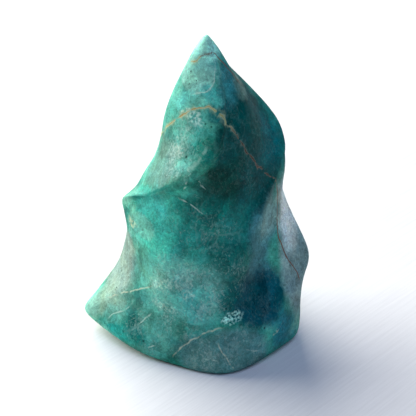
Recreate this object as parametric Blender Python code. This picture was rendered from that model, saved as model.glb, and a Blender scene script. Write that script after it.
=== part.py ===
"""Polished amazonite flame: one solid stone, ground into a twisting flame with five crests.

Metres, +Z up. The origin is the middle of the box on the surface the stone rests on. The photographed
side faces -Y. The crests climb from the foot to the tip and turn anticlockwise seen from above, and a
ground face, hollow or full, lies between each crest and the next.
"""

import bpy
import bmesh
from mathutils import Vector

MM = 0.001

# Driving sizes, in millimetres.
TIP = (2.7, 0.3, 98.2)
BOX_MIDDLE = (-0.84, -1.88, 0.0)
FOOT_EDGE_CREASE = 1.0
SMOOTH_LEVELS = 3
FIT_ROUNDS = 8
FACET_SHARE = 0.52

# Lines that climb the stone, in order anticlockwise seen from above. Each line is a row of stations
# (x, y, z) from the foot up to just below the tip, in millimetres. Station k of every line lies on
# the same belt of the stone.
LINES = {
    # Up the back, round the left toe, then over the front to the tip.
    "toe_crest": [
        (-9.0, 20.5, 0.0), (-10.5, 23.0, 4.5), (-14.0, 21.5, 12.0), (-17.5, 17.0, 20.0),
        (-20.0, 11.5, 28.0), (-21.5, 6.0, 36.5), (-22.7, -1.0, 46.4), (-15.5, -9.3, 51.8),
        (-10.5, -14.6, 57.2), (-3.5, -18.2, 63.8), (3.8, -16.3, 73.0), (5.8, -11.8, 82.5),
        (4.9, -5.2, 92.0),
    ],
    # The pale hollow under the toe, then the shallow valley below the toe crest.
    "left_hollow": [
        (-20.0, 9.5, 0.0), (-29.0, 9.0, 4.5), (-29.5, 8.0, 11.5), (-26.0, 5.0, 19.0),
        (-23.0, 1.0, 27.5), (-21.6, -2.5, 35.5), (-20.4, -5.0, 43.5), (-13.3, -11.3, 50.5),
        (-7.3, -15.9, 55.3), (-0.1, -18.3, 60.5), (6.9, -15.6, 70.0), (8.0, -10.9, 80.9),
        (6.2, -3.9, 91.0),
    ],
    # The lobe of the left foot; the crest fades out in the belly.
    "lobe_crest": [
        (-24.0, -5.0, 0.0), (-36.0, -2.5, 5.2), (-29.5, -5.5, 12.5), (-20.5, -11.5, 20.0),
        (-15.5, -14.5, 26.5), (-15.5, -14.0, 34.0), (-14.1, -14.3, 41.5), (-8.6, -17.0, 47.5),
        (-2.2, -18.4, 52.5), (5.8, -16.8, 59.0), (11.5, -12.5, 68.9), (11.2, -7.6, 79.9),
        (7.8, -1.9, 89.9),
    ],
    # The full belly, from the facet over the left foot to the dark face of the flame.
    "belly": [
        (-17.0, -16.5, 0.0), (-20.0, -18.8, 3.8), (-14.0, -20.5, 11.0), (-7.0, -22.0, 18.5),
        (-6.0, -21.8, 27.0), (-5.0, -21.2, 35.0), (-2.0, -20.6, 41.0), (4.0, -19.6, 45.0),
        (9.5, -16.3, 49.5), (15.0, -10.5, 56.5), (17.6, -5.0, 67.5), (14.0, -2.0, 79.5),
        (8.6, 1.0, 89.5),
    ],
    # From the front of the foot to the right shoulder, then behind to the tip.
    "shoulder_crest": [
        (-8.0, -22.5, 0.0), (-7.5, -24.6, 3.7), (2.7, -26.3, 13.5), (7.1, -25.0, 20.3),
        (10.3, -22.5, 27.0), (12.7, -19.5, 34.8), (15.9, -14.8, 41.5), (19.9, -8.0, 48.7),
        (24.5, 0.5, 55.0), (26.0, 6.0, 61.5), (22.3, 10.0, 69.5), (13.8, 8.5, 80.5),
        (6.3, 5.0, 90.5),
    ],
    # The front of the foot, then the dark hollow on the right.
    "right_hollow": [
        (8.0, -27.0, 0.0), (9.0, -28.9, 3.6), (14.3, -24.5, 15.0), (17.4, -18.5, 20.5),
        (18.7, -13.0, 27.0), (19.8, -9.8, 34.6), (21.6, -6.0, 41.6), (23.6, -1.5, 48.3),
        (25.8, 5.0, 55.0), (25.3, 9.5, 61.5), (19.8, 13.2, 69.8), (11.3, 10.3, 80.6),
        (5.2, 6.1, 90.5),
    ],
    # The soft ridge between the dark hollow and the narrow right face.
    "right_ridge": [
        (20.5, -19.0, 0.0), (23.5, -20.0, 3.8), (25.9, -17.0, 11.0), (27.3, -10.5, 18.5),
        (26.8, -6.5, 26.0), (25.4, -3.5, 34.0), (25.2, 1.0, 41.5), (26.1, 5.0, 48.5),
        (26.2, 9.5, 54.8), (22.5, 14.0, 61.5), (15.8, 15.8, 70.0), (8.3, 11.7, 80.7),
        (3.8, 6.8, 90.6),
    ],
    # The right corner of the foot, the bump above it, then up the back.
    "bump_crest": [
        (28.5, -9.5, 0.0), (31.5, -9.5, 3.8), (32.3, -4.0, 11.5), (33.6, 0.0, 18.5),
        (34.7, 2.0, 24.7), (31.5, 6.0, 32.0), (27.6, 10.0, 39.0), (24.0, 14.5, 45.5),
        (19.0, 18.5, 52.5), (12.5, 20.5, 60.5), (6.0, 18.5, 70.0), (2.0, 12.0, 81.0),
        (1.2, 5.5, 91.0),
    ],
    "back_right_face": [
        (26.0, 6.0, 0.0), (29.0, 7.5, 4.5), (28.0, 9.5, 12.0), (27.5, 11.5, 19.5),
        (25.0, 13.0, 27.0), (21.0, 16.0, 34.5), (15.0, 19.0, 41.5), (9.0, 20.5, 49.0),
        (6.0, 20.0, 56.5), (2.0, 18.5, 64.0), (-1.5, 14.5, 73.0), (-2.5, 8.5, 82.5),
        (-0.5, 3.8, 91.7),
    ],
    # The back corner of the foot; the crest fades out half-way up.
    "back_crest": [
        (14.0, 19.0, 0.0), (16.0, 21.5, 4.5), (14.5, 21.5, 12.0), (12.5, 21.7, 20.0),
        (9.5, 21.7, 28.0), (5.0, 21.0, 36.0), (-1.0, 19.0, 44.0), (-6.0, 16.0, 51.5),
        (-8.0, 13.5, 58.5), (-8.3, 10.5, 66.5), (-7.5, 6.5, 75.0), (-5.2, 3.0, 83.5),
        (-1.7, 1.2, 92.3),
    ],
    "back_left_face": [
        (4.0, 22.0, 0.0), (4.0, 25.0, 4.5), (1.0, 24.5, 12.0), (-3.0, 22.5, 20.0),
        (-7.0, 20.0, 28.5), (-11.0, 16.5, 37.0), (-15.5, 10.5, 45.0), (-16.8, 4.0, 51.8),
        (-13.6, -1.0, 58.3), (-10.4, -3.5, 65.3), (-8.1, -5.0, 74.0), (-4.6, -5.0, 83.5),
        (-0.6, -3.2, 92.5),
    ],
}

# How sharp each crest is, station by station: 0 is fully rounded, 1 is a knife edge.
CREST_CREASE = {
    "toe_crest": [0.4, 0.4, 0.4, 0.4, 0.45, 0.5, 0.5, 0.35, 0.15, 0.0, 0.0, 0.1, 0.25],
    "lobe_crest": [0.4, 0.4, 0.35, 0.2, 0.0, 0.0, 0.0, 0.0, 0.0, 0.0, 0.0, 0.0, 0.0],
    "shoulder_crest": [0.3, 0.3, 0.3, 0.3, 0.35, 0.4, 0.5, 0.5, 0.5, 0.45, 0.4, 0.4, 0.4],
    "right_ridge": [0.0, 0.1, 0.2, 0.2, 0.2, 0.2, 0.1, 0.0, 0.0, 0.0, 0.0, 0.0, 0.0],
    "bump_crest": [0.4, 0.4, 0.4, 0.4, 0.4, 0.4, 0.4, 0.4, 0.4, 0.4, 0.4, 0.4, 0.4],
    "back_crest": [0.4, 0.4, 0.35, 0.25, 0.1, 0.0, 0.0, 0.0, 0.0, 0.0, 0.0, 0.0, 0.0],
}

# The soft edge where the steep band round the front of the foot turns into the shelf above it.
BAND_TOP = {"lines": ["shoulder_crest", "right_hollow", "right_ridge"], "station": 2, "crease": 0.3}


def placed(station):
    """A station in metres, measured from the middle of the box round the stone."""
    return (Vector(station) - Vector(BOX_MIDDLE)) * MM


def build_net():
    """The net of large faces that the smooth stone is drawn through."""
    net = bmesh.new()
    crease = net.edges.layers.float.new("crease_edge")
    lines = {name: [net.verts.new(placed(station)) for station in stations]
             for name, stations in LINES.items()}
    tip = net.verts.new(placed(TIP))
    columns = list(lines.values())
    for here, there in zip(columns, columns[1:] + columns[:1]):
        for k in range(len(here) - 1):
            net.faces.new((here[k], there[k], there[k + 1], here[k + 1]))
        net.faces.new((here[-1], there[-1], tip))
    net.faces.new([line[0] for line in reversed(columns)])
    for name, weights in CREST_CREASE.items():
        climb = lines[name] + [tip]
        for below, above, weight in zip(climb, climb[1:], weights):
            net.edges.get((below, above))[crease] = weight
    for here, there in zip(columns, columns[1:] + columns[:1]):
        net.edges.get((here[0], there[0]))[crease] = FOOT_EDGE_CREASE
    band = [lines[name][BAND_TOP["station"]] for name in BAND_TOP["lines"]]
    for here, there in zip(band, band[1:]):
        net.edges.get((here, there))[crease] = BAND_TOP["crease"]
    mesh = bpy.data.meshes.new("stone_net")
    net.to_mesh(mesh)
    net.free()
    return mesh


def draw_through(stone):
    """Moves the net until the smooth surface passes through every station."""
    wanted = [vertex.co.copy() for vertex in stone.data.vertices]
    for _ in range(FIT_ROUNDS):
        graph = bpy.context.evaluated_depsgraph_get()
        smooth = stone.evaluated_get(graph).to_mesh()
        reached = [smooth.vertices[n].co.copy() for n in range(len(wanted))]
        for vertex, target, now in zip(stone.data.vertices, wanted, reached):
            vertex.co += target - now
        stone.data.update()


def stone_material():
    """Polished amazonite, a blue-green feldspar."""
    material = bpy.data.materials.new("polished_amazonite")
    material.use_nodes = True
    shader = material.node_tree.nodes["Principled BSDF"]
    shader.inputs["Base Color"].default_value = (0.05, 0.30, 0.26, 1.0)
    shader.inputs["Roughness"].default_value = 0.22
    shader.inputs["Metallic"].default_value = 0.0
    return material


def build_stone():
    stone = bpy.data.objects.new("flame_stone", build_net())
    bpy.context.scene.collection.objects.link(stone)
    smooth = stone.modifiers.new("smooth", "SUBSURF")
    smooth.levels = SMOOTH_LEVELS
    smooth.render_levels = SMOOTH_LEVELS
    draw_through(stone)
    thin = stone.modifiers.new("fewer_facets", "DECIMATE")
    thin.ratio = FACET_SHARE
    stone.data.shade_smooth()
    stone.data.materials.append(stone_material())
    return stone


def main():
    for old in list(bpy.data.objects):
        bpy.data.objects.remove(old)
    build_stone()


main()
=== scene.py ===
import math

import bmesh
import bpy
import numpy as np
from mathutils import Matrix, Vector, noise


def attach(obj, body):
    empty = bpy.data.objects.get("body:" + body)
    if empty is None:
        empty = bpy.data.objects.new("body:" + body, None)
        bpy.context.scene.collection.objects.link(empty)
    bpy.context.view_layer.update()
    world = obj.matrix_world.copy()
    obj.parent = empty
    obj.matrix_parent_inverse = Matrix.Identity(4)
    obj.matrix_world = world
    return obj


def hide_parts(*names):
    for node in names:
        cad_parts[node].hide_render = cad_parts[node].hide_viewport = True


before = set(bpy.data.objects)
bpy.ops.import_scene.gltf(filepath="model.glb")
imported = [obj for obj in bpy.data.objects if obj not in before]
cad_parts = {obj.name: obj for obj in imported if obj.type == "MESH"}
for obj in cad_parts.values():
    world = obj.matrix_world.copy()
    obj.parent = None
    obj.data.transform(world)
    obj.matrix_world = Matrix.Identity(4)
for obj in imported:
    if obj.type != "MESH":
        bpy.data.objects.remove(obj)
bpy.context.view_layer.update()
print("frame loaded:", sorted(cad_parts))

mm = 0.001


def toLinear(hexText):
    # sRGB hex to the linear colour that the shader sockets take
    values = [int(hexText[i:i + 2], 16) / 255 for i in (1, 3, 5)]
    linear = [v / 12.92 if v <= 0.04045 else ((v + 0.055) / 1.055) ** 2.4 for v in values]
    return (*linear, 1.0)


def addNode(tree, kind, links=None, **settings):
    # adds one node; each entry of links is a value for that input, or a socket to join to it
    made = tree.nodes.new(kind)
    for name, value in settings.items():
        setattr(made, name, value)
    for socket, value in (links or {}).items():
        if isinstance(value, bpy.types.NodeSocket):
            tree.links.new(value, made.inputs[socket])
        else:
            made.inputs[socket].default_value = value
    return made


# the stone's form: lines that climb it, anticlockwise seen from above, stations in mm
stoneForm = {
    "boxMiddle": (-0.84, -1.88, 0.0),
    "tip": (2.7, 0.3, 98.2),
    "subdivisions": 4,
    "fitRounds": 8,
    "footEdgeCrease": 1.0,
    "lines": {
        # up the back, round the left toe, then over the front to the tip
        "toeCrest": [
            (-9.0, 20.5, 0.0), (-10.5, 23.0, 4.5), (-14.0, 21.5, 12.0), (-17.5, 17.0, 20.0),
            (-20.0, 11.5, 28.0), (-21.5, 6.0, 36.5), (-22.7, -1.0, 46.4), (-15.5, -9.3, 51.8),
            (-10.5, -14.6, 57.2), (-3.5, -18.2, 63.8), (3.8, -16.3, 73.0), (5.8, -11.8, 82.5),
            (4.9, -5.2, 92.0),
        ],
        # the pale hollow under the toe, then the shallow valley below the toe crest
        "leftHollow": [
            (-20.0, 9.5, 0.0), (-29.0, 9.0, 4.5), (-29.5, 8.0, 11.5), (-26.0, 5.0, 19.0),
            (-23.0, 1.0, 27.5), (-21.6, -2.5, 35.5), (-20.4, -5.0, 43.5), (-13.3, -11.3, 50.5),
            (-7.3, -15.9, 55.3), (-0.1, -18.3, 60.5), (6.9, -15.6, 70.0), (8.0, -10.9, 80.9),
            (6.2, -3.9, 91.0),
        ],
        # the lobe of the left foot; its crest fades out in the belly
        "lobeCrest": [
            (-24.0, -5.0, 0.0), (-36.0, -2.5, 5.2), (-29.5, -5.5, 12.5), (-20.5, -11.5, 20.0),
            (-15.5, -14.5, 26.5), (-15.5, -14.0, 34.0), (-14.1, -14.3, 41.5), (-8.6, -17.0, 47.5),
            (-2.2, -18.4, 52.5), (5.8, -16.8, 59.0), (11.5, -12.5, 68.9), (11.2, -7.6, 79.9),
            (7.8, -1.9, 89.9),
        ],
        # the full belly, from the facet over the left foot to the dark face of the flame
        "belly": [
            (-17.0, -16.5, 0.0), (-20.0, -18.8, 3.8), (-14.0, -20.5, 11.0), (-7.0, -22.0, 18.5),
            (-6.0, -21.8, 27.0), (-5.0, -21.2, 35.0), (-2.0, -20.6, 41.0), (4.0, -19.6, 45.0),
            (9.5, -16.3, 49.5), (15.0, -10.5, 56.5), (17.6, -5.0, 67.5), (14.0, -2.0, 79.5),
            (8.6, 1.0, 89.5),
        ],
        # from the front of the foot to the right shoulder, then behind to the tip
        "shoulderCrest": [
            (-8.0, -22.5, 0.0), (-7.5, -24.6, 3.7), (2.7, -26.3, 13.5), (7.1, -25.0, 20.3),
            (10.3, -22.5, 27.0), (12.7, -19.5, 34.8), (15.9, -14.8, 41.5), (19.9, -8.0, 48.7),
            (24.5, 0.5, 55.0), (26.0, 6.0, 61.5), (22.3, 10.0, 69.5), (13.8, 8.5, 80.5),
            (6.3, 5.0, 90.5),
        ],
        # the front of the foot, then the dark hollow on the right
        "rightHollow": [
            (8.0, -27.0, 0.0), (9.0, -28.9, 3.6), (14.3, -24.5, 15.0), (17.4, -18.5, 20.5),
            (18.7, -13.0, 27.0), (19.8, -9.8, 34.6), (21.6, -6.0, 41.6), (23.6, -1.5, 48.3),
            (25.8, 5.0, 55.0), (25.3, 9.5, 61.5), (19.8, 13.2, 69.8), (11.3, 10.3, 80.6),
            (5.2, 6.1, 90.5),
        ],
        # the soft ridge between the dark hollow and the narrow right face
        "rightRidge": [
            (20.5, -19.0, 0.0), (23.5, -20.0, 3.8), (25.9, -17.0, 11.0), (27.3, -10.5, 18.5),
            (26.8, -6.5, 26.0), (25.4, -3.5, 34.0), (25.2, 1.0, 41.5), (26.1, 5.0, 48.5),
            (26.2, 9.5, 54.8), (22.5, 14.0, 61.5), (15.8, 15.8, 70.0), (8.3, 11.7, 80.7),
            (3.8, 6.8, 90.6),
        ],
        # the right corner of the foot, the bump above it, then up the back
        "bumpCrest": [
            (28.5, -9.5, 0.0), (31.5, -9.5, 3.8), (32.3, -4.0, 11.5), (33.6, 0.0, 18.5),
            (34.7, 2.0, 24.7), (31.5, 6.0, 32.0), (27.6, 10.0, 39.0), (24.0, 14.5, 45.5),
            (19.0, 18.5, 52.5), (12.5, 20.5, 60.5), (6.0, 18.5, 70.0), (2.0, 12.0, 81.0),
            (1.2, 5.5, 91.0),
        ],
        "backRightFace": [
            (26.0, 6.0, 0.0), (29.0, 7.5, 4.5), (28.0, 9.5, 12.0), (27.5, 11.5, 19.5),
            (25.0, 13.0, 27.0), (21.0, 16.0, 34.5), (15.0, 19.0, 41.5), (9.0, 20.5, 49.0),
            (6.0, 20.0, 56.5), (2.0, 18.5, 64.0), (-1.5, 14.5, 73.0), (-2.5, 8.5, 82.5),
            (-0.5, 3.8, 91.7),
        ],
        # the back corner of the foot; its crest fades out half-way up
        "backCrest": [
            (14.0, 19.0, 0.0), (16.0, 21.5, 4.5), (14.5, 21.5, 12.0), (12.5, 21.7, 20.0),
            (9.5, 21.7, 28.0), (5.0, 21.0, 36.0), (-1.0, 19.0, 44.0), (-6.0, 16.0, 51.5),
            (-8.0, 13.5, 58.5), (-8.3, 10.5, 66.5), (-7.5, 6.5, 75.0), (-5.2, 3.0, 83.5),
            (-1.7, 1.2, 92.3),
        ],
        "backLeftFace": [
            (4.0, 22.0, 0.0), (4.0, 25.0, 4.5), (1.0, 24.5, 12.0), (-3.0, 22.5, 20.0),
            (-7.0, 20.0, 28.5), (-11.0, 16.5, 37.0), (-15.5, 10.5, 45.0), (-16.8, 4.0, 51.8),
            (-13.6, -1.0, 58.3), (-10.4, -3.5, 65.3), (-8.1, -5.0, 74.0), (-4.6, -5.0, 83.5),
            (-0.6, -3.2, 92.5),
        ],
    },
    # how sharp each crest is: 0 fully rounded, 1 a knife edge
    "crestCrease": {
        "toeCrest": [0.4, 0.4, 0.4, 0.4, 0.45, 0.5, 0.5, 0.35, 0.15, 0.0, 0.0, 0.1, 0.25],
        "lobeCrest": [0.4, 0.4, 0.35, 0.2, 0.0, 0.0, 0.0, 0.0, 0.0, 0.0, 0.0, 0.0, 0.0],
        "shoulderCrest": [0.3, 0.3, 0.3, 0.3, 0.35, 0.4, 0.5, 0.5, 0.5, 0.45, 0.4, 0.4, 0.4],
        "rightRidge": [0.0, 0.1, 0.2, 0.2, 0.2, 0.2, 0.1, 0.0, 0.0, 0.0, 0.0, 0.0, 0.0],
        "bumpCrest": [0.4, 0.4, 0.4, 0.4, 0.4, 0.4, 0.4, 0.4, 0.4, 0.4, 0.4, 0.4, 0.4],
        "backCrest": [0.4, 0.4, 0.35, 0.25, 0.1, 0.0, 0.0, 0.0, 0.0, 0.0, 0.0, 0.0, 0.0],
    },
    # the soft edge where the steep band round the front of the foot turns into the shelf above it
    "bandTop": {"lines": ["shoulderCrest", "rightHollow", "rightRidge"], "station": 2, "crease": 0.3},
}


def placed(station):
    return (Vector(station) - Vector(stoneForm["boxMiddle"])) * mm


def netOfStone():
    net = bmesh.new()
    crease = net.edges.layers.float.new("crease_edge")
    lines = {name: [net.verts.new(placed(station)) for station in stations]
             for name, stations in stoneForm["lines"].items()}
    tip = net.verts.new(placed(stoneForm["tip"]))
    columns = list(lines.values())
    for here, there in zip(columns, columns[1:] + columns[:1]):
        for k in range(len(here) - 1):
            net.faces.new((here[k], there[k], there[k + 1], here[k + 1]))
        net.faces.new((here[-1], there[-1], tip))
    net.faces.new([line[0] for line in reversed(columns)])
    for name, weights in stoneForm["crestCrease"].items():
        climb = lines[name] + [tip]
        for below, above, weight in zip(climb, climb[1:], weights):
            net.edges.get((below, above))[crease] = weight
    for here, there in zip(columns, columns[1:] + columns[:1]):
        net.edges.get((here[0], there[0]))[crease] = stoneForm["footEdgeCrease"]
    bandTop = stoneForm["bandTop"]
    band = [lines[name][bandTop["station"]] for name in bandTop["lines"]]
    for here, there in zip(band, band[1:]):
        net.edges.get((here, there))[crease] = bandTop["crease"]
    mesh = bpy.data.meshes.new("polishedFlame")
    net.to_mesh(mesh)
    net.free()
    return mesh


def drawThrough(stone):
    # moves the net until the smooth surface passes through every station
    wanted = [vertex.co.copy() for vertex in stone.data.vertices]
    for _ in range(stoneForm["fitRounds"]):
        graph = bpy.context.evaluated_depsgraph_get()
        smooth = stone.evaluated_get(graph).to_mesh()
        reached = [smooth.vertices[n].co.copy() for n in range(len(wanted))]
        for vertex, target, now in zip(stone.data.vertices, wanted, reached):
            vertex.co += target - now
        stone.data.update()


def makeStone():
    stone = bpy.data.objects.new("polishedFlame", netOfStone())
    bpy.context.scene.collection.objects.link(stone)
    smooth = stone.modifiers.new("smooth", "SUBSURF")
    smooth.levels = smooth.render_levels = stoneForm["subdivisions"]
    drawThrough(stone)
    graph = bpy.context.evaluated_depsgraph_get()
    fine = bpy.data.meshes.new_from_object(stone.evaluated_get(graph))
    stone.modifiers.remove(smooth)
    stone.data = fine
    stone.data.shade_smooth()
    return stone


# hand polishing leaves the faces slightly wavy: width and depth of the waves in mm, and how much is taken
# off all round. The noise runs from -1 to 1 and is lowered by half, so that the waves take stone away rather
# than add it. They grow over the first millimetre above the foot, so that the foot stays flat
polishWaves = {
    "waves": [(9.0, 0.10), (3.5, 0.04)], "lowered": 0.5, "allRound": 0.06, "flatFoot": 1.0,
    "seed": (3.1, 7.7, 1.9),
}


def waveSurface(stone):
    seed = Vector(polishWaves["seed"])
    facing = [vertex.normal.copy() for vertex in stone.data.vertices]
    for vertex, normal in zip(stone.data.vertices, facing):
        spot = vertex.co / mm
        height = -polishWaves["allRound"]
        for width, depth in polishWaves["waves"]:
            height += depth * (noise.noise(spot / width + seed) - polishWaves["lowered"])
        vertex.co += normal * height * min(spot.z / polishWaves["flatFoot"], 1.0) * mm
    stone.data.update()


stone = makeStone()
waveSurface(stone)
print("stone form:", len(stone.data.polygons), "faces")

# thin lines on the stone, by kind: rows of points in mm, from one end of the line to the other
stoneLines = {
    "shade": {
        "underToe": [(-21.0, -1.0, 47.4), (-13.6, -8.5, 52.7), (-8.4, -14.0, 58.0), (-5.5, -16.0, 60.3)],
    },
    # painted highlight: a pale rim of light along the crest below the flame's lit face
    "crestHighlight": {
        "crest": [(-2.9, -15.9, 63.9), (-1.2, -16.2, 65.4), (1.1, -16.3, 67.4), (4.2, -15.0, 71.8)],
    },
    "vein": {
        "main": [(-9.0, -0.8, 69.4), (-7.4, -3.3, 72.6), (-4.9, -5.6, 75.7), (-3.0, -6.5, 77.8),
                 (-0.2, -7.8, 79.9), (1.9, -8.8, 80.5), (4.4, -10.0, 80.9), (7.2, -11.5, 80.0),
                 (8.5, -12.2, 78.4), (10.3, -10.2, 75.2), (12.9, -9.6, 70.9), (15.5, -8.2, 65.8),
                 (17.7, -5.8, 61.3), (21.3, -2.0, 56.0), (24.6, 1.4, 51.7)],
        "top": [(-1.2, -0.8, 91.0), (0.8, -1.7, 92.5), (2.7, -2.0, 93.6), (5.1, -1.8, 94.4)],
        "behind": [(-9.2, -0.2, 69.2), (-10.2, 3.4, 66.6), (-8.8, 8.4, 65.4), (-5.6, 13.0, 67.6),
                   (0.2, 16.2, 69.4)],
    },
    "brown": {
        "upright": [(24.6, 1.4, 51.7), (25.0, 1.0, 43.6), (25.1, -2.1, 35.5), (26.3, -2.6, 32.2),
                    (28.0, -3.4, 27.8), (31.4, -2.9, 21.9), (32.5, -2.6, 18.0)],
        "underTip": [(5.1, -1.8, 94.4), (7.2, -0.6, 91.8), (10.3, 0.5, 87.7), (11.8, 1.3, 85.3),
                     (13.6, 3.1, 82.2)],
        "behind": [(12.8, 20.0, 57.0), (11.2, 20.5, 53.5), (12.4, 20.5, 49.5), (10.2, 21.0, 45.0),
                   (10.9, 21.3, 40.0), (8.6, 22.0, 35.5), (9.4, 22.3, 31.5)],
    },
    "pale": {
        "arc": [(5.8, -3.2, 92.3), (5.6, -5.4, 89.0), (5.2, -6.7, 86.9), (3.0, -7.2, 84.7),
                (-2.0, -5.0, 83.0)],
        "underCrest": [(-5.1, -14.7, 55.3), (-1.3, -16.3, 53.5), (3.8, -17.1, 50.1)],
        "footLeft": [(-28.2, -8.1, 7.0), (-25.8, -8.6, 10.0), (-21.7, -10.6, 13.1), (-19.7, -11.3, 15.6),
                     (-19.0, -11.3, 17.8)],
        "footLow": [(-14.6, -19.7, 5.3), (-12.1, -20.6, 7.0)],
        "footMiddle": [(-17.8, -15.4, 10.7), (-13.0, -16.6, 16.1)],
        "footFront": [(2.3, -25.6, 6.0), (6.8, -26.7, 5.4)],
        "footRight": [(14.9, -24.7, 8.3), (19.5, -22.5, 6.0)],
        "onCrest": [(0.4, -17.5, 62.7), (3.2, -15.7, 57.9)],
        "besideCrest": [(-3.0, -16.0, 58.1), (-2.1, -17.5, 61.9)],
        "behindRight": [(27.0, 11.0, 34.0), (23.2, 14.0, 32.5), (20.4, 15.8, 28.0), (15.6, 19.0, 26.5)],
    },
    "cream": {
        "lobe": [(-28.0, -3.8, 13.1), (-20.3, -9.4, 19.1), (-12.6, -15.6, 25.2)],
        "bandEdge": [(-7.3, -22.5, 4.0), (-2.4, -23.5, 10.0), (4.1, -24.3, 14.7), (8.8, -24.0, 16.2)],
        "foot": [(6.5, -25.0, 11.1), (9.2, -26.3, 6.9), (11.7, -26.5, 2.2)],
    },
}


def throughPoints(points, steps=6):
    # a smooth line through the points, each stretch between two of them cut into steps
    first, last = np.array(points[0]), np.array(points[-1])
    row = np.array([2 * first - points[1], *points, 2 * last - points[-2]])
    line = []
    for k in range(1, len(row) - 2):
        a, b, c, d = row[k - 1:k + 3]
        for t in np.arange(steps) / steps:
            bend = (2 * a - 5 * b + 4 * c - d) * t ** 2 + (3 * b - a - 3 * c + d) * t ** 3
            line.append((2 * b + (c - a) * t + bend) / 2)
    line.append(last)
    return np.array(line)


def markLines(stone, kind, lines):
    # finds the nearest line of this kind for every point of the mesh, and stores how far to its side the
    # point lies in mm, its share of the line's length, and how far off it is in all in mm
    count = len(stone.data.vertices)
    place = np.empty(count * 3)
    stone.data.vertices.foreach_get("co", place)
    place = place.reshape(-1, 3) / mm
    farOff = 1000.0  # mm, further than any point is from a line
    field = np.full((count, 3), farOff)
    for points in lines.values():
        near = [stone.closest_point_on_mesh(Vector(point) * mm) for point in throughPoints(points)]
        spots = np.array([spot for found, spot, normal, face in near]) / mm
        facing = np.array([normal for found, spot, normal, face in near])
        stretch = spots[1:] - spots[:-1]
        length = np.linalg.norm(stretch, axis=1)
        across = np.cross(stretch, facing[1:] + facing[:-1])
        across /= np.linalg.norm(across, axis=1)[:, None]
        before = np.concatenate([[0.0], np.cumsum(length)])
        for k in range(len(stretch)):
            share = (place - spots[k]) @ stretch[k] / length[k] ** 2
            gap = place - spots[k] - np.clip(share, 0, 1)[:, None] * stretch[k]
            away = np.linalg.norm(gap, axis=1)
            nearer = away < field[:, 2]
            field[nearer, 0] = (gap @ across[k])[nearer]
            field[nearer, 1] = (before[k] + share * length[k])[nearer] / before[-1]
            field[nearer, 2] = away[nearer]
    made = stone.data.attributes.new(kind + "Lines", "FLOAT_VECTOR", "POINT")
    made.data.foreach_set("vector", field.astype(np.float32).ravel())


for kind, lines in stoneLines.items():
    markLines(stone, kind, lines)
print("kinds of line marked:", len(stoneLines))

# polished amazonite: blue-green microcline feldspar. Blocks of slightly different green meet in it, and
# threads and flecks of white albite make the eye see a cloudy, grainy depth. The polish is soft, not glassy.
amazoniteLook = {
    "roughness": (0.22, 0.34), "ior": 1.53, "polish": 0.11, "polishRoughness": 0.2,
    "wideWarp": {"grain": 9.0, "shift": 2.4},
    "fineWarp": {"grain": 1.8, "shift": 0.55},
    # body colour, from the deepest clouds to the palest, clouds about 13 mm wide
    "cloudGrain": 13.0,
    "clouds": [(0.30, "#0C5A55"), (0.43, "#1F7D70"), (0.56, "#43A18F"), (0.70, "#7FC2AF")],
    # each colour drifts a little towards green or blue over about 6 mm; red, green and blue are multiplied
    "drift": {"grain": 6.0, "from": 0.35, "to": 0.65,
              "greener": (1.10, 1.03, 0.90, 1.0), "bluer": (0.90, 0.98, 0.97, 1.0)},
    # crystal blocks: wide ones of 15 mm and small ones of 4 mm, each a little lighter or darker
    "blocks": [{"grain": 15.0, "depth": 0.10}, {"grain": 4.0, "depth": 0.09}],
    # cloudy mottling and the grain seen close up
    "mottling": [{"grain": 5.0, "depth": 0.26}, {"grain": 1.6, "depth": 0.32}, {"grain": 0.6, "depth": 0.45}],
    # patches of white mineral break up into crumbs of 0.8 mm
    "crumbs": {"grain": 0.8, "from": 0.42, "to": 0.58},
    # albite: flecks about 0.4 mm wide, drawn 0.7 mm wide so that they show, and longer than wide
    "flecks": {"grain": 0.7, "longer": 1.5, "turn": (0.35, 0.6, 0.3),
               "from": 0.49, "to": 0.74, "strength": 0.8, "colour": "#BFE3D3"},
    "threads": {"grain": 1.2, "longer": 4.0, "turn": (0.2, 0.62, 0.15),
                "from": 0.50, "to": 0.80, "strength": 0.5, "colour": "#A9CFC6"},
    "albiteElsewhere": 0.12, "albiteSwing": {"grain": 7.0, "depth": 0.35},
    # the edges of the crystal blocks catch a little light: thin pale lines, mostly broken off
    "blockEdges": {"grain": 7.0, "taller": 1.5, "half": 0.45, "from": 0.48, "to": 0.62, "strength": 0.4,
                   "colour": "#A6D6C8"},
    # dark mica: a few specks where they show, and others strewn round the stone
    "mica": {"colour": "#123633", "strength": 0.85, "soft": 0.5},
    "strewn": {"apart": 9.0, "share": 0.25, "width": 0.5},
    # what bends, widens and breaks the lines, in mm
    "lineNoise": {"wander": 3.0, "width": 1.2, "gaps": 1.9},
    # marks of the polishing lap, 2.5 mm wide; cracks are duller and deeper than the polish
    "lapMarks": {"grain": 2.5, "from": 0.3, "to": 0.7},
    "rippleDepth": 0.035, "crackDepth": 0.12, "crackDullness": 0.35,
}
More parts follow.
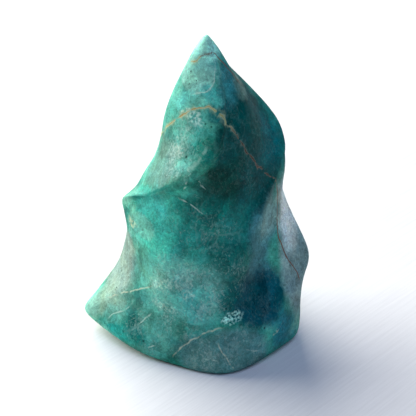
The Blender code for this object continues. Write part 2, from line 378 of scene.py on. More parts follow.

# patches of colour, mostly this stone's own, with a few of painted sheen, reflection, highlight and shade:
# middle and reach in mm, how far each is turned about the line of sight in degrees, how much it covers, how
# soft its edge is, and whether it breaks up into grains
stonePatches = [
    # large regions first
    {"name": "flameFace", "at": (-2.0, -6.0, 80.0), "reach": (11, 14, 22),
     "turn": 14, "colour": "#52AA9C", "strength": 1.0, "soft": 0.25},
    # painted sheen: a soft greyish pale patch on the lower lit face, standing in for the window's reflection
    # there
    {"name": "faceLowSheen", "at": (-11.5, -7.5, 61.5), "reach": (9.5, 9, 8),
     "turn": -38, "colour": "#5C8A81", "strength": 0.9, "soft": 0.35},
    {"name": "belly", "at": (-6.0, -16.0, 42.0), "reach": (18, 13, 14),
     "colour": "#3CAD9F", "strength": 1.0, "soft": 0.35},
    {"name": "bellyLow", "at": (-5.0, -19.0, 27.0), "reach": (15, 12, 9),
     "colour": "#6CB4A9", "strength": 0.9, "soft": 0.5},
    {"name": "footFront", "at": (-16.0, -15.0, 11.0), "reach": (18, 12, 9),
     "colour": "#4EA098", "strength": 0.9, "soft": 0.4},
    # painted shade: the stone's deep green on the side turned away from the window, made darker still in its
    # colour
    {"name": "darkSideShade", "at": (17.0, -6.0, 67.0), "reach": (15, 16, 27),
     "turn": 18, "colour": "#004E4D", "strength": 1.0, "soft": 0.13},
    {"name": "bellyRight", "at": (12.0, -16.0, 43.0), "reach": (9, 9, 14),
     "turn": 10, "colour": "#167069", "strength": 0.9, "soft": 0.45},
    {"name": "deepBlue", "at": (19.0, -15.0, 21.5), "reach": (11, 11, 9.5),
     "turn": 15, "colour": "#00525E", "strength": 1.0, "soft": 0.22},
    # painted sheen: grey-blue on the steep face right of the shoulder, standing in for the reflection of the
    # bright surroundings
    {"name": "steepFaceSheen", "at": (20.0, -8.0, 38.0), "reach": (5.5, 9, 13),
     "turn": 20, "colour": "#55969F", "strength": 0.85, "soft": 0.35},
    # painted reflection: the narrow right face made pale grey, standing in for the bright floor it reflects
    {"name": "paleEdgeReflection", "at": (31.0, 0.0, 27.0), "reach": (5.6, 12, 24),
     "colour": "#83A0A2", "strength": 0.9, "soft": 0.25},
    {"name": "paleHollow", "at": (-24.0, 1.0, 24.0), "reach": (10, 12, 13),
     "turn": 14, "colour": "#839F99", "strength": 0.95, "soft": 0.3},
    {"name": "lobeTop", "at": (-27.0, -4.0, 12.5), "reach": (9, 7, 4.0),
     "turn": -25, "colour": "#89B09D", "strength": 0.85, "soft": 0.4},
    {"name": "greyBand", "at": (11.0, -26.0, 6.5), "reach": (18, 7, 9.5),
     "colour": "#4F8789", "strength": 0.95, "soft": 0.15},
    # the flame's lit face
    {"name": "tipPale", "at": (3.0, -1.0, 97.0), "reach": (6, 6, 5),
     "colour": "#A2F2E2", "strength": 1.0, "soft": 0.4},
    {"name": "disc", "at": (0.8, -3.0, 88.2), "reach": (5.4, 8, 5.0),
     "colour": "#86C8BB", "strength": 0.8, "soft": 0.12},
    {"name": "underDisc", "at": (-2.5, -5.5, 81.5), "reach": (7, 7, 3.0),
     "colour": "#6CCBC0", "strength": 0.8, "soft": 0.4},
    {"name": "paleSlope", "at": (4.7, -8.5, 83.9), "reach": (3.6, 4, 2.4),
     "colour": "#3DA09B", "strength": 0.8, "soft": 0.3},
    {"name": "veinShelf", "at": (-1.4, -8.2, 77.2), "reach": (4.4, 4, 1.7),
     "turn": 15, "colour": "#C2E4D8", "strength": 0.9, "soft": 0.35, "grainy": True},
    {"name": "faceMiddle", "at": (-2.0, -10.0, 72.0), "reach": (6, 6, 5),
     "colour": "#5AA29B", "strength": 0.7, "soft": 0.5},
    {"name": "faceGreen", "at": (2.5, -13.5, 72.5), "reach": (3.5, 5, 4.5),
     "colour": "#3FA59A", "strength": 0.8, "soft": 0.4},
    {"name": "whitePatch", "at": (-6.5, -10.0, 66.5), "reach": (5.0, 4, 2.2),
     "turn": -15, "colour": "#9CB9B1", "strength": 0.75, "soft": 0.45, "grainy": True},
    {"name": "paleCrestSide", "at": (-1.0, -15.5, 65.0), "reach": (1.8, 4, 6.0),
     "turn": 35, "colour": "#7ACCBB", "strength": 0.6, "soft": 0.5},
    # the dark face of the flame
    {"name": "darkMiddle", "at": (8.5, -13.5, 59.0), "reach": (8, 7, 6.5),
     "colour": "#014039", "strength": 0.85, "soft": 0.45},
    {"name": "darkTeal", "at": (4.0, -15.5, 69.0), "reach": (4.0, 5, 5.5),
     "turn": 20, "colour": "#017868", "strength": 0.8, "soft": 0.4},
    # partly the stone's own blue, partly painted reflection: lightened where the hollow under the tip
    # reflects its surroundings
    {"name": "blueUpperAndSheen", "at": (9.0, -4.0, 86.0), "reach": (3.0, 6, 6.0),
     "colour": "#368B90", "strength": 0.9, "soft": 0.35},
    {"name": "blueSlope", "at": (7.0, -9.5, 80.8), "reach": (4.0, 4, 1.8),
     "turn": -15, "colour": "#015B63", "strength": 0.8, "soft": 0.4},
    # painted sheen: the grey triangle on the dark face near the tip, where the white board on the right is
    # reflected
    {"name": "greyCornerSheen", "at": (13.4, 1.0, 83.8), "reach": (2.6, 6, 4.8),
     "turn": -20, "colour": "#5C8A82", "strength": 0.85, "soft": 0.2},
    {"name": "rightRim", "at": (26.0, 6.0, 66.0), "reach": (5.0, 9, 13),
     "colour": "#1C8C88", "strength": 0.55, "soft": 0.8},
    {"name": "darkFoot", "at": (18.0, -8.0, 57.0), "reach": (8, 7, 5),
     "turn": -30, "colour": "#005255", "strength": 0.7, "soft": 0.5},
    {"name": "darkRight", "at": (22.8, 4.2, 64.5), "reach": (6.0, 8, 8),
     "colour": "#006F76", "strength": 0.75, "soft": 0.6},
    # the belly
    {"name": "bellyTop", "at": (-12.5, -10.5, 49.0), "reach": (10, 7, 4),
     "turn": -18, "colour": "#39A69E", "strength": 0.75, "soft": 0.4},
    {"name": "darkTop", "at": (3.0, -17.0, 52.0), "reach": (9, 7, 4),
     "colour": "#01665C", "strength": 0.8, "soft": 0.45},
    {"name": "paleBlock", "at": (-15.0, -8.5, 42.0), "reach": (5.8, 6, 3.6),
     "turn": 10, "colour": "#68B4A7", "strength": 0.75, "soft": 0.15},
    {"name": "bellyDeep", "at": (0.5, -18.5, 44.5), "reach": (8, 6, 5.5),
     "colour": "#016862", "strength": 0.7, "soft": 0.5},
    {"name": "bellyLeftLow", "at": (-14.4, -12.5, 30.0), "reach": (4.5, 5, 6),
     "colour": "#4B9184", "strength": 0.8, "soft": 0.6},
    {"name": "bellyPale", "at": (-1.0, -20.5, 24.0), "reach": (9, 6, 4.5),
     "colour": "#3AB1AE", "strength": 0.6, "soft": 0.5},
    # the left foot
    {"name": "footTeal", "at": (-23.0, -12.5, 7.0), "reach": (9.5, 8, 3.6),
     "colour": "#22A59C", "strength": 0.85, "soft": 0.4},
    {"name": "footTealDark", "at": (-18.5, -15.0, 9.5), "reach": (4.2, 4.5, 5.5),
     "colour": "#026965", "strength": 0.8, "soft": 0.4},
    {"name": "lobeGreen", "at": (-26.0, -8.5, 9.8), "reach": (5.5, 4, 3.6),
     "colour": "#6AB7AA", "strength": 0.6, "soft": 0.3},
    {"name": "footBlue", "at": (1.5, -23.3, 17.5), "reach": (5.5, 5, 4.5),
     "colour": "#35908F", "strength": 0.7, "soft": 0.5},
    {"name": "footWhite", "at": (-9.3, -18.5, 18.7), "reach": (3.4, 3, 1.7),
     "colour": "#9CC7BA", "strength": 0.75, "soft": 0.4, "grainy": True},
    {"name": "bellyWhite", "at": (-10.1, -17.7, 26.2), "reach": (2.6, 3, 1.4),
     "turn": -20, "colour": "#A4D2C4", "strength": 0.7, "soft": 0.4, "grainy": True},
    {"name": "bellyFleck", "at": (-2.0, -20.7, 25.2), "reach": (2.2, 3, 1.2),
     "colour": "#A4CFC4", "strength": 0.7, "soft": 0.4, "grainy": True},
    # the right side
    {"name": "deepEdge", "at": (10.5, -20.0, 25.0), "reach": (3.4, 5, 8.5),
     "turn": 12, "colour": "#015F60", "strength": 0.85, "soft": 0.4},
    # painted highlight: near-white at the top of the narrow right face, where the bright surroundings are
    # reflected
    {"name": "nearWhiteHighlight", "at": (29.0, 6.0, 40.0), "reach": (4.5, 9, 12),
     "colour": "#DCE8E8", "strength": 0.9, "soft": 0.5},
    # painted sheen: pale grey on the steep face beside the shoulder crest, standing in for a reflection
    {"name": "steepPaleSheen", "at": (22.4, -4.0, 43.0), "reach": (2.8, 8, 6),
     "colour": "#86ABA6", "strength": 0.75, "soft": 0.6},
    {"name": "bandTeal", "at": (26.5, -15.0, 7.5), "reach": (5.5, 7, 6),
     "colour": "#257F94", "strength": 0.7, "soft": 0.5},
    {"name": "whiteMineral", "at": (11.2, -22.5, 18.4), "reach": (3.6, 3, 1.8),
     "turn": -6, "colour": "#9BD5CC", "strength": 1.0, "soft": 0.2, "grainy": True},
    {"name": "yellowSpot", "at": (24.5, -17.8, 10.5), "reach": (1.8, 2, 1.0),
     "colour": "#C1C5A1", "strength": 0.8, "soft": 0.5, "grainy": True},
    {"name": "yellowMarks", "at": (-18.6, -5.2, 41.0), "reach": (2.2, 2.5, 1.2),
     "turn": 10, "colour": "#DBE1B7", "strength": 0.75, "soft": 0.5, "grainy": True},
    # behind, as on the photographed side: deep clouds above, a bluish one and a pale one below
    {"name": "backDark", "at": (5.0, 18.5, 62.0), "reach": (8, 7, 11),
     "turn": -20, "colour": "#0E625B", "strength": 0.75, "soft": 0.5},
    {"name": "backBlue", "at": (-8.0, 18.5, 31.0), "reach": (8, 8, 8),
     "turn": 25, "colour": "#145F68", "strength": 0.75, "soft": 0.5},
    {"name": "backPale", "at": (13.0, 21.0, 17.0), "reach": (9, 6, 7),
     "colour": "#7DB2A6", "strength": 0.7, "soft": 0.5},
]

# where the albite is plentiful: middle and reach in mm, and how much of it there is
albiteZones = [
    {"name": "bellyLow", "at": (-1.0, -20.0, 29.0), "reach": (14, 7, 11), "strength": 0.9, "soft": 0.6},
    {"name": "bellyHigh", "at": (2.0, -18.0, 44.0), "reach": (15, 8, 9), "strength": 0.45, "soft": 0.6},
    {"name": "footFront", "at": (-12.0, -18.0, 13.0), "reach": (18, 10, 9), "strength": 0.6, "soft": 0.5},
    {"name": "band", "at": (11.0, -26.0, 7.0), "reach": (18, 7, 9), "strength": 0.5, "soft": 0.4},
    {"name": "flameFace", "at": (-5.0, -10.0, 68.0), "reach": (9, 9, 10), "strength": 0.65, "soft": 0.5},
    {"name": "tip", "at": (1.0, -3.0, 88.0), "reach": (7, 9, 10), "strength": 0.3, "soft": 0.4},
    {"name": "hollow", "at": (-24.0, 0.0, 22.0), "reach": (10, 12, 11), "strength": 0.45, "soft": 0.4},
    {"name": "rightEdge", "at": (30.0, 0.0, 27.0), "reach": (5, 10, 19), "strength": 0.5, "soft": 0.4},
    {"name": "backLow", "at": (4.0, 22.0, 24.0), "reach": (22, 10, 16), "strength": 0.6, "soft": 0.5},
    {"name": "backHigh", "at": (-2.0, 14.0, 66.0), "reach": (12, 9, 12), "strength": 0.5, "soft": 0.5},
]

# specks of dark mica: middle in mm and how wide
micaSpecks = [
    ((-1.0, -2.5, 88.9), 0.50), ((0.5, -4.7, 87.0), 0.40), ((-1.9, -2.9, 87.0), 0.35),
    ((-1.5, -4.0, 85.7), 0.35), ((3.1, -11.4, 76.8), 0.45), ((4.7, -12.5, 76.4), 0.45),
    ((-2.3, -13.2, 67.4), 0.70), ((-0.8, -13.8, 68.6), 0.40), ((9.2, -22.5, 21.7), 0.60),
    ((20.9, -20.0, 12.9), 0.60), ((-15.9, -18.6, 7.0), 0.80), ((-24.7, -4.3, 17.2), 0.50),
    ((-23.2, -0.8, 20.9), 0.40),
]

# how each kind of line looks: how far it wanders in mm, and over what share of its length it fades at its
# ends. Each layer of it: colours by the share of its length, half its width in mm and the part of that half
# which is full, how strong it is, how much of it is missing, and how dull and deep it is beside the polish
lineLooks = {
    "shade": {"wander": 1.0, "fade": 0.2, "layers": [
        {"colours": [(0.0, "#0A776A")], "half": 0.8, "full": 0.2,
         "strength": 0.75, "gaps": 0.0, "groove": 0.0}]},
    # painted highlight along the crest: a pale, broken rim of light
    "crestHighlight": {"wander": 2.4, "fade": 0.2, "layers": [
        {"colours": [(0.0, "#A3CDBB")], "half": 1.1, "full": 0.0,
         "strength": 0.5, "gaps": 0.5, "groove": 0.0}]},
    # healed cleavage cracks, filled with white albite
    "pale": {"wander": 1.4, "fade": 0.25, "layers": [
        {"colours": [(0.0, "#BCDCCB")], "half": 0.32, "full": 0.1,
         "strength": 0.7, "gaps": 0.4, "groove": 0.0}]},
    "cream": {"wander": 1.8, "fade": 0.15, "layers": [
        {"colours": [(0.0, "#D3DCBE")], "half": 0.4, "full": 0.1,
         "strength": 0.6, "gaps": 0.35, "groove": 0.0}]},
    # a fine open crack, stained brown
    "brown": {"wander": 0.8, "fade": 0.06, "layers": [
        {"colours": [(0.0, "#8A6148"), (1.0, "#7A5E50")], "half": 0.3, "full": 0.4,
         "strength": 0.95, "gaps": 0.1, "groove": 0.8}]},
    # iron-stained fracture: a wide faint stain, a pale rim, a golden to pinkish-brown core, rusty specks
    "vein": {"wander": 2.6, "fade": 0.04, "layers": [
        {"colours": [(0.0, "#A2B58A"), (0.4, "#9DB283"), (0.55, "#7F9B85"), (0.7, "#2F5750")],
         "half": 1.5, "full": 0.0, "strength": 0.45, "gaps": 0.45, "groove": 0.0},
        {"colours": [(0.0, "#B4C9A2"), (0.46, "#C2D0B0"), (0.56, "#7D8B7C"), (0.7, "#857C6E")],
         "half": 0.65, "full": 0.1, "strength": 0.6, "gaps": 0.4, "groove": 0.0},
        {"colours": [(0.0, "#AF8648"), (0.33, "#A48C4C"), (0.44, "#9A9E5B"), (0.5, "#A7A27A"),
                     (0.57, "#8A6C54"), (0.7, "#8C7260"), (1.0, "#A98871")],
         "half": 0.26, "full": 0.1, "strength": 0.85, "gaps": 0.35, "groove": 0.5},
        {"colours": [(0.0, "#6B4A2A"), (0.6, "#3F2C20")],
         "half": 0.3, "full": 0.3, "strength": 0.85, "gaps": 0.5, "groove": 0.6, "after": 0.52}]},
}


usualNoise = (0.25, 0.75)  # the noise texture seldom leaves the middle half of its range


def shiftedAbout(tree, point, warp):
    # moves the points about a little, so that no edge drawn with them is straight; sizes in mm
    cloud = addNode(tree, "ShaderNodeTexNoise", {"Vector": point, "Scale": 1 / warp["grain"], "Detail": 3.0})
    centred = addNode(tree, "ShaderNodeVectorMath", {0: cloud.outputs["Color"], 1: (0.5, 0.5, 0.5)},
                      operation="SUBTRACT")
    reach = 2 * warp["shift"] / (usualNoise[1] - usualNoise[0])
    return addNode(tree, "ShaderNodeVectorMath", {0: centred.outputs[0], 1: (reach, reach, reach), 2: point},
                   operation="MULTIPLY_ADD").outputs[0]


def product(tree, *values):
    result = values[0]
    for value in values[1:]:
        result = addNode(tree, "ShaderNodeMath", {0: result, 1: value}, operation="MULTIPLY").outputs[0]
    return result


def layOver(tree, under, mask, colour):
    return addNode(tree, "ShaderNodeMix", {0: mask, 6: under, 7: colour}, data_type="RGBA").outputs[2]


def rampOf(tree, value, stops):
    ramp = addNode(tree, "ShaderNodeValToRGB", {0: value})
    marks = ramp.color_ramp.elements
    while len(marks) > len(stops):
        marks.remove(marks[-1])
    while len(marks) < len(stops):
        marks.new(0.5)
    for mark, (place, colour) in zip(marks, stops):
        mark.position = place
        mark.color = toLinear(colour)
    return ramp.outputs["Color"]


def patchMask(tree, point, patch):
    # 1 inside an ellipsoid, 0 outside it
    turned = (0.0, math.radians(patch.get("turn", 0.0)), 0.0)
    local = addNode(tree, "ShaderNodeMapping", {
        "Vector": point, "Location": patch["at"], "Rotation": turned, "Scale": patch["reach"]},
        vector_type="TEXTURE")
    away = addNode(tree, "ShaderNodeVectorMath", {0: local.outputs[0]}, operation="LENGTH")
    mask = addNode(tree, "ShaderNodeMapRange", {
        "Value": away.outputs["Value"], "From Min": 1 + patch["soft"], "From Max": 1 - patch["soft"],
        "To Min": 0.0, "To Max": patch["strength"]}, interpolation_type="SMOOTHSTEP")
    return mask.outputs[0]


def shadeBy(tree, colour, value, depth):
    # darkens where value is low and lightens where it is high, by up to depth either way
    low, high = usualNoise
    factor = addNode(tree, "ShaderNodeMapRange", {
        "Value": value, "From Min": low, "From Max": high, "To Min": 1 - depth, "To Max": 1 + depth},
        clamp=False)
    return addNode(tree, "ShaderNodeVectorMath", {0: colour, "Scale": factor.outputs[0]},
                   operation="SCALE").outputs[0]


# how every line is drawn: how far it overruns its ends, as a share of its length; how many mm from its
# points it fades and is whole; how its width and its gaps follow the noise; how softly a late layer begins
lineDrawing = {
    "overrun": 0.005, "gone": 4.0, "whole": 3.0, "widthSwing": 2.4, "widthOffset": -0.2,
    "gapFrom": 0.2, "gapTo": 0.36, "gapSwing": 0.4, "beginning": 0.04,
}


def drawLines(tree, colour, grooves, kind, noises):
    # lays all layers of one kind of line over the colour, and adds them to what is dull and deep
    look, draw = lineLooks[kind], lineDrawing
    field = addNode(tree, "ShaderNodeAttribute", attribute_name=kind + "Lines")
    side, share, away = addNode(tree, "ShaderNodeSeparateXYZ", {0: field.outputs["Vector"]}).outputs
    bent = addNode(tree, "ShaderNodeMath", {0: noises["wander"], 1: look["wander"], 2: side},
                   operation="MULTIPLY_ADD")
    apart = addNode(tree, "ShaderNodeMath", {0: bent.outputs[0]}, operation="ABSOLUTE").outputs[0]
    fromMiddle = addNode(tree, "ShaderNodeMath", {0: share, 1: 0.5}, operation="SUBTRACT")
    toEnd = addNode(tree, "ShaderNodeMath", {0: fromMiddle.outputs[0]}, operation="ABSOLUTE")
    ends = addNode(tree, "ShaderNodeMapRange", {
        "Value": toEnd.outputs[0], "From Min": 0.5 + draw["overrun"], "From Max": 0.5 - look["fade"]})
    near = addNode(tree, "ShaderNodeMapRange", {
        "Value": away, "From Min": draw["gone"], "From Max": draw["whole"]})
    present = product(tree, ends.outputs[0], near.outputs[0])
    for layer in look["layers"]:
        swing, offset = draw["widthSwing"] * layer["half"], draw["widthOffset"] * layer["half"]
        half = addNode(tree, "ShaderNodeMath", {0: noises["width"], 1: swing, 2: offset},
                       operation="MULTIPLY_ADD")
        core = addNode(tree, "ShaderNodeMapRange", {
            "Value": apart, "From Min": half.outputs[0], "From Max": layer["full"] * layer["half"]},
            interpolation_type="SMOOTHSTEP")
        missing = draw["gapSwing"] * layer["gaps"]
        kept = addNode(tree, "ShaderNodeMapRange", {
            "Value": noises["gaps"],
            "From Min": draw["gapFrom"] + missing, "From Max": draw["gapTo"] + missing})
        after = layer.get("after", -1.0)
        begun = addNode(tree, "ShaderNodeMapRange", {
            "Value": share, "From Min": after - draw["beginning"], "From Max": after + draw["beginning"]})
        mask = product(tree, core.outputs[0], kept.outputs[0], present, begun.outputs[0], layer["strength"])
        colour = layOver(tree, colour, mask, rampOf(tree, share, layer["colours"]))
        if layer["groove"]:
            grooves = addNode(tree, "ShaderNodeMath", {0: grooves, 1: product(tree, mask, layer["groove"])},
                              operation="MAXIMUM").outputs[0]
    return colour, grooves


def polishedAmazonite(look):
    material = bpy.data.materials.new("polishedAmazonite")
    material.use_nodes = True
    tree = material.node_tree
    shader = tree.nodes["Principled BSDF"]
    spot = addNode(tree, "ShaderNodeTexCoord").outputs["Object"]
    inMm = addNode(tree, "ShaderNodeVectorMath", {0: spot, "Scale": 1 / mm}, operation="SCALE").outputs[0]
    wide = shiftedAbout(tree, inMm, look["wideWarp"])
    bent = shiftedAbout(tree, wide, look["fineWarp"])
    crisp = shiftedAbout(tree, inMm, look["fineWarp"])

    # the clouds of the body colour
    cloud = addNode(tree, "ShaderNodeTexNoise", {
        "Vector": bent, "Scale": 1 / look["cloudGrain"], "Detail": 4.0})
    colour = rampOf(tree, cloud.outputs["Fac"], look["clouds"])

    # the patches that are this stone's own
    crumbs = look["crumbs"]
    crumb = addNode(tree, "ShaderNodeTexNoise", {"Vector": inMm, "Scale": 1 / crumbs["grain"], "Detail": 2.0})
    crumbled = addNode(tree, "ShaderNodeMapRange", {
        "Value": crumb.outputs["Fac"], "From Min": crumbs["from"], "From Max": crumbs["to"]}).outputs[0]
    for patch in stonePatches:
        near = bent if patch["soft"] >= 0.3 else crisp
        mask = patchMask(tree, near, patch)
        if patch.get("grainy"):
            mask = product(tree, mask, crumbled)
        colour = layOver(tree, colour, mask, toLinear(patch["colour"]))

    # the green drifts a little towards blue and back
    drift = look["drift"]
    drifting = addNode(tree, "ShaderNodeTexNoise", {
        "Vector": bent, "Scale": 1 / drift["grain"], "Detail": 3.0})
    blueness = addNode(tree, "ShaderNodeMapRange", {
        "Value": drifting.outputs["Fac"], "From Min": drift["from"], "From Max": drift["to"]})
    tint = layOver(tree, drift["greener"], blueness.outputs[0], drift["bluer"])
    colour = addNode(tree, "ShaderNodeVectorMath", {0: colour, 1: tint}, operation="MULTIPLY").outputs[0]

    # crystal blocks, each a little lighter or darker than the next
    for block in look["blocks"]:
        cell = addNode(tree, "ShaderNodeTexVoronoi", {"Vector": crisp, "Scale": 1 / block["grain"]})
        tone = addNode(tree, "ShaderNodeSeparateColor", {0: cell.outputs["Color"]})
        colour = shadeBy(tree, colour, tone.outputs[0], block["depth"])

    # mottling and grain
    for layer in look["mottling"]:
        grain = addNode(tree, "ShaderNodeTexNoise", {
            "Vector": crisp, "Scale": 1 / layer["grain"], "Detail": 5.0, "Roughness": 0.65})
        colour = shadeBy(tree, colour, grain.outputs["Fac"], layer["depth"])

    # how plentiful albite is; it comes and goes over a few millimetres
    swing = look["albiteSwing"]
    thick = addNode(tree, "ShaderNodeTexNoise", {"Vector": inMm, "Scale": 1 / swing["grain"], "Detail": 2.0})
    albite = look["albiteElsewhere"]
    for zone in albiteZones:
        albite = addNode(tree, "ShaderNodeMath", {0: albite, 1: patchMask(tree, bent, zone)},
                         operation="MAXIMUM").outputs[0]
    # pale edges of the blocks
    edges = look["blockEdges"]
    upright = addNode(tree, "ShaderNodeMapping", {
        "Vector": crisp, "Rotation": look["threads"]["turn"], "Scale": (1.0, 1.0, 1 / edges["taller"])})
    border = addNode(tree, "ShaderNodeTexVoronoi", {
        "Vector": upright.outputs[0], "Scale": 1 / edges["grain"]}, feature="DISTANCE_TO_EDGE")
    line = addNode(tree, "ShaderNodeMapRange", {
        "Value": border.outputs["Distance"], "From Min": edges["half"] / edges["grain"], "From Max": 0.0})
    whole = addNode(tree, "ShaderNodeMapRange", {
        "Value": cloud.outputs["Fac"], "From Min": edges["from"], "From Max": edges["to"]})
    shown = product(tree, line.outputs[0], whole.outputs[0], albite, edges["strength"])
    colour = layOver(tree, colour, shown, toLinear(edges["colour"]))

    # threads and flecks of albite
    for name in ("threads", "flecks"):
        fleck = look[name]
        narrow = 1 / fleck["grain"]
        turned = addNode(tree, "ShaderNodeMapping", {
            "Vector": crisp, "Rotation": fleck["turn"], "Scale": (narrow, narrow, narrow / fleck["longer"])})
        grain = addNode(tree, "ShaderNodeTexNoise", {
            "Vector": turned.outputs[0], "Scale": 1.0, "Detail": 6.0, "Roughness": 0.75})
        raised = addNode(tree, "ShaderNodeMath", {
            0: thick.outputs["Fac"], 1: swing["depth"], 2: -swing["depth"] / 2}, operation="MULTIPLY_ADD")
        level = addNode(tree, "ShaderNodeMath", {0: grain.outputs["Fac"], 1: raised.outputs[0]},
                        operation="ADD")
        mask = addNode(tree, "ShaderNodeMapRange", {
            "Value": level.outputs[0], "From Min": fleck["from"], "From Max": fleck["to"],
            "To Max": fleck["strength"]}, interpolation_type="SMOOTHSTEP")
        colour = layOver(tree, colour, product(tree, mask.outputs[0], albite), toLinear(fleck["colour"]))

    # lines: what bends, widens and breaks them is shared
    grains = look["lineNoise"]
    bends = addNode(tree, "ShaderNodeTexNoise", {
        "Vector": inMm, "Scale": 1 / grains["wander"], "Detail": 4.0})
    noises = {"wander": addNode(tree, "ShaderNodeMath", {0: bends.outputs["Fac"], 1: 0.5},
                                operation="SUBTRACT").outputs[0]}
    for name in ("width", "gaps"):
        noises[name] = addNode(tree, "ShaderNodeTexNoise", {
            "Vector": inMm, "Scale": 1 / grains[name], "Detail": 3.0}).outputs["Fac"]
    grooves = 0.0
    for kind in lineLooks:
        colour, grooves = drawLines(tree, colour, grooves, kind, noises)

    # mica specks where they show, and a few more strewn all round
    mica, strewn = look["mica"], look["strewn"]
    for at, width in micaSpecks:
        found, middle, normal, face = stone.closest_point_on_mesh(Vector(at) * mm)
        speck = {"at": tuple(middle / mm), "reach": (width / 2,) * 3, "soft": mica["soft"],
                 "strength": mica["strength"]}
        colour = layOver(tree, colour, patchMask(tree, inMm, speck), toLinear(mica["colour"]))
    spread = addNode(tree, "ShaderNodeTexVoronoi", {"Vector": bent, "Scale": 1 / strewn["apart"]})
    few = addNode(tree, "ShaderNodeSeparateColor", {0: spread.outputs["Color"]})
    kept = addNode(tree, "ShaderNodeMath", {0: few.outputs[1], 1: 1 - strewn["share"]},
                   operation="GREATER_THAN")
    small = addNode(tree, "ShaderNodeMath", {
        0: spread.outputs["Distance"], 1: strewn["width"] / 2 / strewn["apart"]}, operation="LESS_THAN")
    speckled = product(tree, kept.outputs[0], small.outputs[0])
    colour = layOver(tree, colour, speckled, toLinear(mica["colour"]))
    tree.links.new(colour, shader.inputs["Base Color"])

    # gloss: it comes and goes with the lap marks, and the cracks are duller
    marks = look["lapMarks"]
    lap = addNode(tree, "ShaderNodeTexNoise", {"Vector": crisp, "Scale": 1 / marks["grain"], "Detail": 5.0})
    rough = addNode(tree, "ShaderNodeMapRange", {
        "Value": lap.outputs["Fac"], "From Min": marks["from"], "From Max": marks["to"],
        "To Min": look["roughness"][0], "To Max": look["roughness"][1]})
    rougher = addNode(tree, "ShaderNodeMath", {0: grooves, 1: look["crackDullness"], 2: rough.outputs[0]},
                      operation="MULTIPLY_ADD")
    tree.links.new(rougher.outputs[0], shader.inputs["Roughness"])
    shader.inputs["IOR"].default_value = look["ior"]
    shader.inputs["Specular IOR Level"].default_value = 0.0  # all the gloss is in the thin polish above
    shader.inputs["Coat Weight"].default_value = look["polish"]
    shader.inputs["Coat IOR"].default_value = look["ior"]
    shader.inputs["Coat Roughness"].default_value = look["polishRoughness"]

    # the polish follows the grain a few hundredths of a millimetre deep, and the cracks a little deeper
    ripple = addNode(tree, "ShaderNodeMath", {
        0: grooves, 1: -look["crackDepth"] / look["rippleDepth"], 2: lap.outputs["Fac"]},
        operation="MULTIPLY_ADD")
    bump = addNode(tree, "ShaderNodeBump", {
        "Height": ripple.outputs[0], "Strength": 1.0, "Distance": look["rippleDepth"] * mm})
    tree.links.new(bump.outputs[0], shader.inputs["Normal"])
    tree.links.new(bump.outputs[0], shader.inputs["Coat Normal"])
    return material


stone.data.materials.clear()
stone.data.materials.append(polishedAmazonite(amazoniteLook))
print("amazonite made")

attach(stone, "root")
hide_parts("flame_stone")

# plain pale floor: a white painted board, wide enough to fill the view. The brush left faint hairs, about
# 0.8 mm wide and 22 mm long, which the eye sees only where the shadow lies
floorLook = {"size": (3.0, 3.0), "colours": ["#E9E9E8", "#F3F3F2"], "roughness": (0.5, 0.62),
             "brushMarks": {"turn": 46.0, "wide": 0.8, "long": 22.0, "deep": 0.05}}
bpy.ops.mesh.primitive_plane_add(size=1.0)
floor = bpy.context.object
floor.name = "paleFloor"
floor.scale = (*floorLook["size"], 1.0)
floorMat = bpy.data.materials.new("whitePaintedBoard")
floorMat.use_nodes = True
floorTree = floorMat.node_tree
floorShader = floorTree.nodes["Principled BSDF"]
brush = floorLook["brushMarks"]
floorSpot = addNode(floorTree, "ShaderNodeNewGeometry").outputs["Position"]
strokes = addNode(floorTree, "ShaderNodeMapping", {
    "Vector": floorSpot, "Rotation": (0.0, 0.0, math.radians(brush["turn"])),
    "Scale": (brush["long"] * mm, brush["wide"] * mm, 1.0)}, vector_type="TEXTURE")
hairs = addNode(floorTree, "ShaderNodeTexNoise", {
    "Vector": strokes.outputs[0], "Scale": 1.0, "Detail": 5.0, "Roughness": 0.6}).outputs["Fac"]
paint = rampOf(floorTree, hairs, [(0.3, floorLook["colours"][0]), (0.7, floorLook["colours"][1])])
floorTree.links.new(paint, floorShader.inputs["Base Color"])
sheen = addNode(floorTree, "ShaderNodeMapRange", {
    "Value": hairs, "To Min": floorLook["roughness"][0], "To Max": floorLook["roughness"][1]})
floorTree.links.new(sheen.outputs[0], floorShader.inputs["Roughness"])
ridges = addNode(floorTree, "ShaderNodeBump", {
    "Height": hairs, "Strength": 1.0, "Distance": brush["deep"] * mm})
floorTree.links.new(ridges.outputs[0], floorShader.inputs["Normal"])
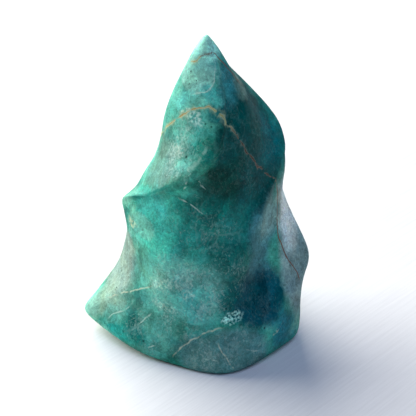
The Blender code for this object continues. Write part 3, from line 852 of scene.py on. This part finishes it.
floor.data.materials.append(floorMat)
print("floor laid")

# soft studio light: a wall of windows behind and to the left, and a little blue sky from above
lights = {
    "windowWall": {"at": (-1.40, 1.40, 0.95), "size": (3.6, 1.9), "watts": 165.0, "colour": "#FFFCF6"},
    "skyTop": {"at": (0.60, -1.00, 2.20), "size": (1.5, 1.5), "watts": 26.0, "colour": "#C4D6FF"},
}
lookAt = Vector((0.0, 0.0, 0.045))
for name, light in lights.items():
    lamp = bpy.data.lights.new(name, "AREA")
    lamp.shape = "RECTANGLE"
    lamp.size, lamp.size_y = light["size"]
    lamp.energy = light["watts"]
    lamp.color = toLinear(light["colour"])[:3]
    holder = bpy.data.objects.new(name, lamp)
    bpy.context.scene.collection.objects.link(holder)
    holder.location = light["at"]
    holder.rotation_euler = (lookAt - holder.location).to_track_quat("-Z", "Y").to_euler()

# the room itself gives a trace of bluish light
dimRoom = {"colour": "#C9DBFF", "strength": 0.05}
world = bpy.data.worlds.new("dimRoom")
world.use_nodes = True
roomLight = world.node_tree.nodes["Background"]
roomLight.inputs["Color"].default_value = toLinear(dimRoom["colour"])
roomLight.inputs["Strength"].default_value = dimRoom["strength"]
bpy.context.scene.world = world

# the camera stands where the photograph was taken from, 30 degrees above the table
cameraSpot = {
    "target": (3.84, 1.88, 42.0), "elevation": 30.0, "distance": 352.0, "lens": 100.0, "sensor": 36.0,
    "clipStart": 10.0,
}
raised = math.radians(cameraSpot["elevation"])
back = Vector((0.0, -math.cos(raised), math.sin(raised)))
camera = bpy.data.objects.new("camera", bpy.data.cameras.new("camera"))
bpy.context.scene.collection.objects.link(camera)
camera.data.lens = cameraSpot["lens"]
camera.data.sensor_width = cameraSpot["sensor"]
camera.data.clip_start = cameraSpot["clipStart"] * mm
camera.location = Vector(cameraSpot["target"]) * mm + back * cameraSpot["distance"] * mm
camera.rotation_euler = (-back).to_track_quat("-Z", "Y").to_euler()
bpy.context.scene.camera = camera
bpy.context.scene.view_settings.view_transform = "Standard"
print("camera and lights set")
